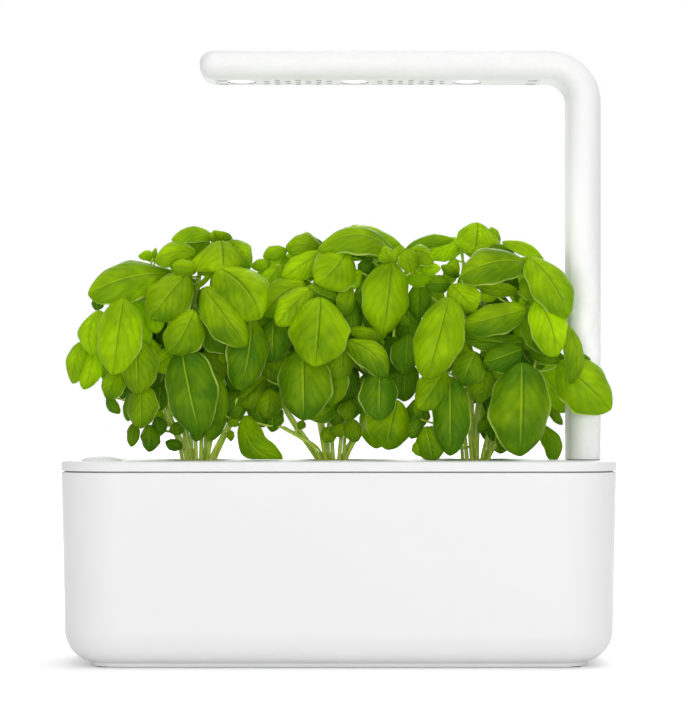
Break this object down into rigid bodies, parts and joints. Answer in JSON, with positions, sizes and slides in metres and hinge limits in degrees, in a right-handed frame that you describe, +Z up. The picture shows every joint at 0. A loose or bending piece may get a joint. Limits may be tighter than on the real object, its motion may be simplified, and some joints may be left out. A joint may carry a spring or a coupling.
{
  "type": "countertop hydroponic garden",
  "caption": "White countertop hydroponic garden: a long water tub with a flat lid, basil plants in round pods, a float gauge and a lamp on a tall bent arm.",
  "frame": {"origin": "centre of the outline on the plane that the feet stand on", "axes": "+X right in the picture, +Y to the back, +Z up"},
  "size_m": [0.305, 0.121, 0.3409],
  "materials": {
    "white_shell": "smooth white moulded plastic with a soft sheen",
    "white_matt": "white moulded plastic, satin",
    "grey_rubber": "soft grey rubber",
    "black_plastic": "fine black moulded plastic",
    "cable_sheath": "black soft cable sheath",
    "screw_steel": "zinc plated steel",
    "float_foam": "closed cell foam",
    "cup_plastic": "dark grey moulded plastic",
    "soil": "dark fibrous growing medium",
    "label_paper": "plain uncoated paper",
    "wick_felt": "white felt wick",
    "basil_leaf": "living leaf, smooth and slightly waxy",
    "sink_aluminium": "extruded aluminium",
    "board_white": "white solder mask",
    "board_green": "green solder mask",
    "led_phosphor": "yellow phosphor over a white package",
    "lens_glass": "clear moulded lens, lightly frosted"
  },
  "bodies": {
    "tub": {"tub": "white_shell", "foot_ring": "white_matt", "foot_pad_1": "grey_rubber", "foot_pad_2": "grey_rubber", "foot_pad_3": "grey_rubber", "foot_pad_4": "grey_rubber"},
    "lid": {"lid": "white_shell", "arm_socket": "white_matt", "base_contacts": "black_plastic", "power_inlet": "black_plastic", "power_lead": "cable_sheath", "float_guide": "white_matt", "socket_screw_1": "screw_steel", "socket_screw_2": "screw_steel"},
    "float": {"float_cap": "white_shell", "float_puck": "float_foam"},
    "pod_left": {"pod_cup_left": "cup_plastic", "soil_plug_left": "soil", "pod_label_left": "label_paper", "wick_left": "wick_felt", "basil_left": "basil_leaf"},
    "pod_middle": {"pod_cup_middle": "cup_plastic", "soil_plug_middle": "soil", "pod_label_middle": "label_paper", "wick_middle": "wick_felt", "basil_middle": "basil_leaf"},
    "pod_right": {"pod_cup_right": "cup_plastic", "soil_plug_right": "soil", "pod_label_right": "label_paper", "wick_right": "wick_felt", "basil_right": "basil_leaf"},
    "extension_arm": {"arm_tube": "white_shell", "arm_plug": "black_plastic", "arm_contacts": "black_plastic", "arm_lead": "cable_sheath"},
    "lamp": {"lamp_shell": "white_shell", "lamp_cover": "white_matt", "heat_sink": "sink_aluminium", "led_board": "board_white", "led_1": "led_phosphor", "led_2": "led_phosphor", "led_3": "led_phosphor", "lens_1": "lens_glass", "lens_2": "lens_glass", "lens_3": "lens_glass", "timer_board": "board_green", "lamp_plug": "black_plastic", "lamp_lead": "cable_sheath", "cover_screw_1": "screw_steel", "cover_screw_2": "screw_steel", "cover_screw_3": "screw_steel", "cover_screw_4": "screw_steel"}
  },
  "joints": [
    {"name": "lid_lift", "type": "slide", "parent": "tub", "child": "lid", "axis": [0, 0, 1], "range_m": [0, 0.08]},
    {"name": "float_travel", "type": "slide", "parent": "lid", "child": "float", "axis": [0, 0, 1], "range_m": [-0.016, 0]},
    {"name": "pod_left_lift", "type": "slide", "parent": "lid", "child": "pod_left", "axis": [0, 0, 1], "range_m": [0, 0.07]},
    {"name": "pod_middle_lift", "type": "slide", "parent": "lid", "child": "pod_middle", "axis": [0, 0, 1], "range_m": [0, 0.07]},
    {"name": "pod_right_lift", "type": "slide", "parent": "lid", "child": "pod_right", "axis": [0, 0, 1], "range_m": [0, 0.07]},
    {"name": "arm_lift", "type": "slide", "parent": "lid", "child": "extension_arm", "axis": [0, 0, 1], "range_m": [0, 0.027]},
    {"name": "lamp_lift", "type": "slide", "parent": "extension_arm", "child": "lamp", "axis": [0, 0, 1], "range_m": [0, 0.022]}
  ]
}
